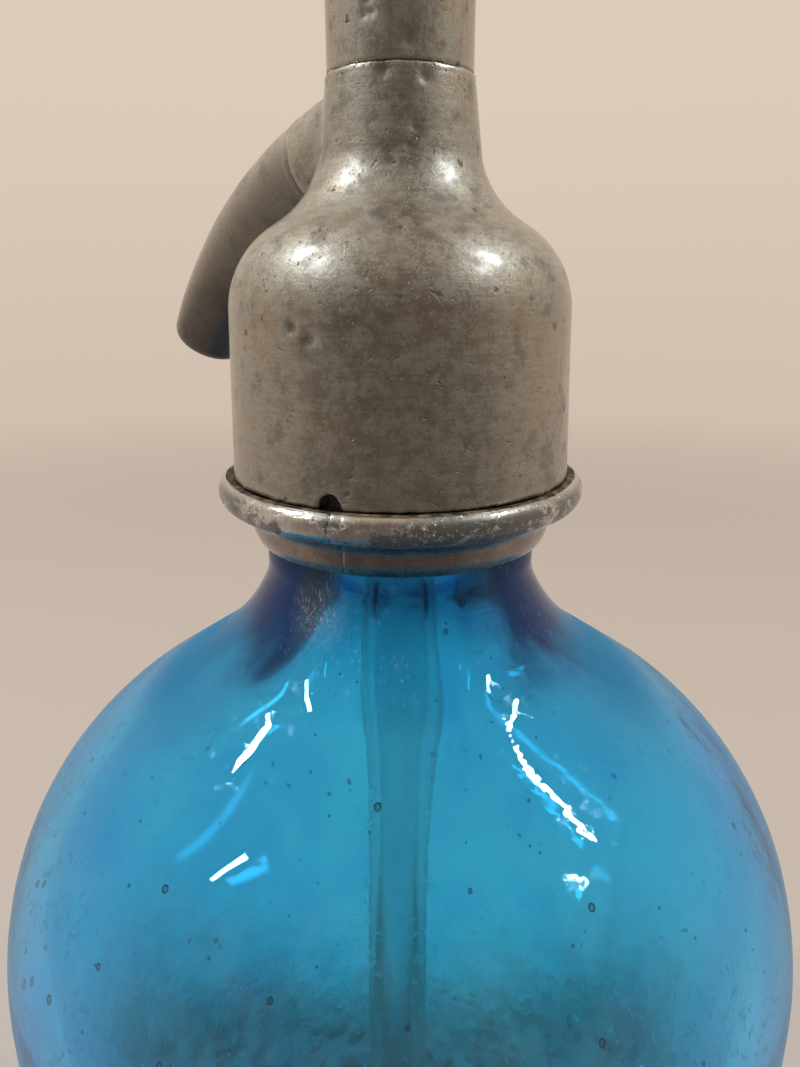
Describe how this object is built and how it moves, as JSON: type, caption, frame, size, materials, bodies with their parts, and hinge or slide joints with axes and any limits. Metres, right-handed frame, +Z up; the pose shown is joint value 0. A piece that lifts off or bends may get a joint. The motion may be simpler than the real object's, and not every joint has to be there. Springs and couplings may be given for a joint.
{
  "type": "soda siphon",
  "caption": "Soda siphon: thick blue glass bottle with a cast metal head, a bent spout and a sprung thumb lever that opens the valve above a glass dip tube.",
  "frame": {"origin": "middle of the foot, on the table", "axes": "+Z up along the bottle, +X towards the spout, -X towards the lever's thumb end"},
  "size_m": [0.11, 0.11, 0.2731],
  "materials": {
    "blue_glass": "clear turquoise blown glass with small bubbles",
    "clear_glass": "clear drawn glass tube",
    "pewter": "old cast pewter, dull and pitted",
    "ring_pewter": "cast pewter worn bright on the bead, with dark patches",
    "tin": "turned tin",
    "brass": "turned brass, tarnished",
    "spring_steel": "drawn spring wire",
    "pin_steel": "turned steel, darkened",
    "rubber": "old black rubber",
    "leather": "greased leather or fibre"
  },
  "bodies": {
    "siphon": {"glass_bottle": "blue_glass", "neck_ring_left": "ring_pewter", "neck_ring_right": "ring_pewter", "neck_gasket": "rubber", "tube_holder": "tin", "tube_grommet": "rubber", "dip_tube": "clear_glass", "head_gasket": "rubber", "head_body": "pewter", "spout": "pewter", "valve_seat": "brass", "upper_column": "pewter", "column_gasket": "leather", "stem_packing_lower": "rubber", "stem_packing_upper": "leather", "packing_washer": "brass", "return_spring": "spring_steel", "top_cap": "brass", "lever_pin": "pin_steel", "pin_nut": "pin_steel"},
    "lever_arm": {"lever": "pewter"},
    "valve_rod": {"valve_stem": "brass", "spring_collar": "brass", "stem_button": "brass", "valve_disc": "rubber", "valve_cup": "brass", "valve_nut": "brass"}
  },
  "joints": [
    {"name": "lever_press", "type": "hinge", "parent": "siphon", "child": "lever_arm", "pos_m": [0.01, 0, 0.2688], "axis": [0, -1, 0], "range_deg": [0, 17], "stiffness_Nm_per_rad": 0.31, "springref_deg": -22.92},
    {"name": "stem_slide", "type": "slide", "parent": "siphon", "child": "valve_rod", "axis": [0, 0, -1], "range_m": [0, 0.003], "stiffness_N_per_m": 30, "springref_m": -0.003, "deforming": ["return_spring"]}
  ],
  "couplings": [
    {"joint": "stem_slide", "follows": "lever_press", "m_per_rad": 0.01}
  ]
}
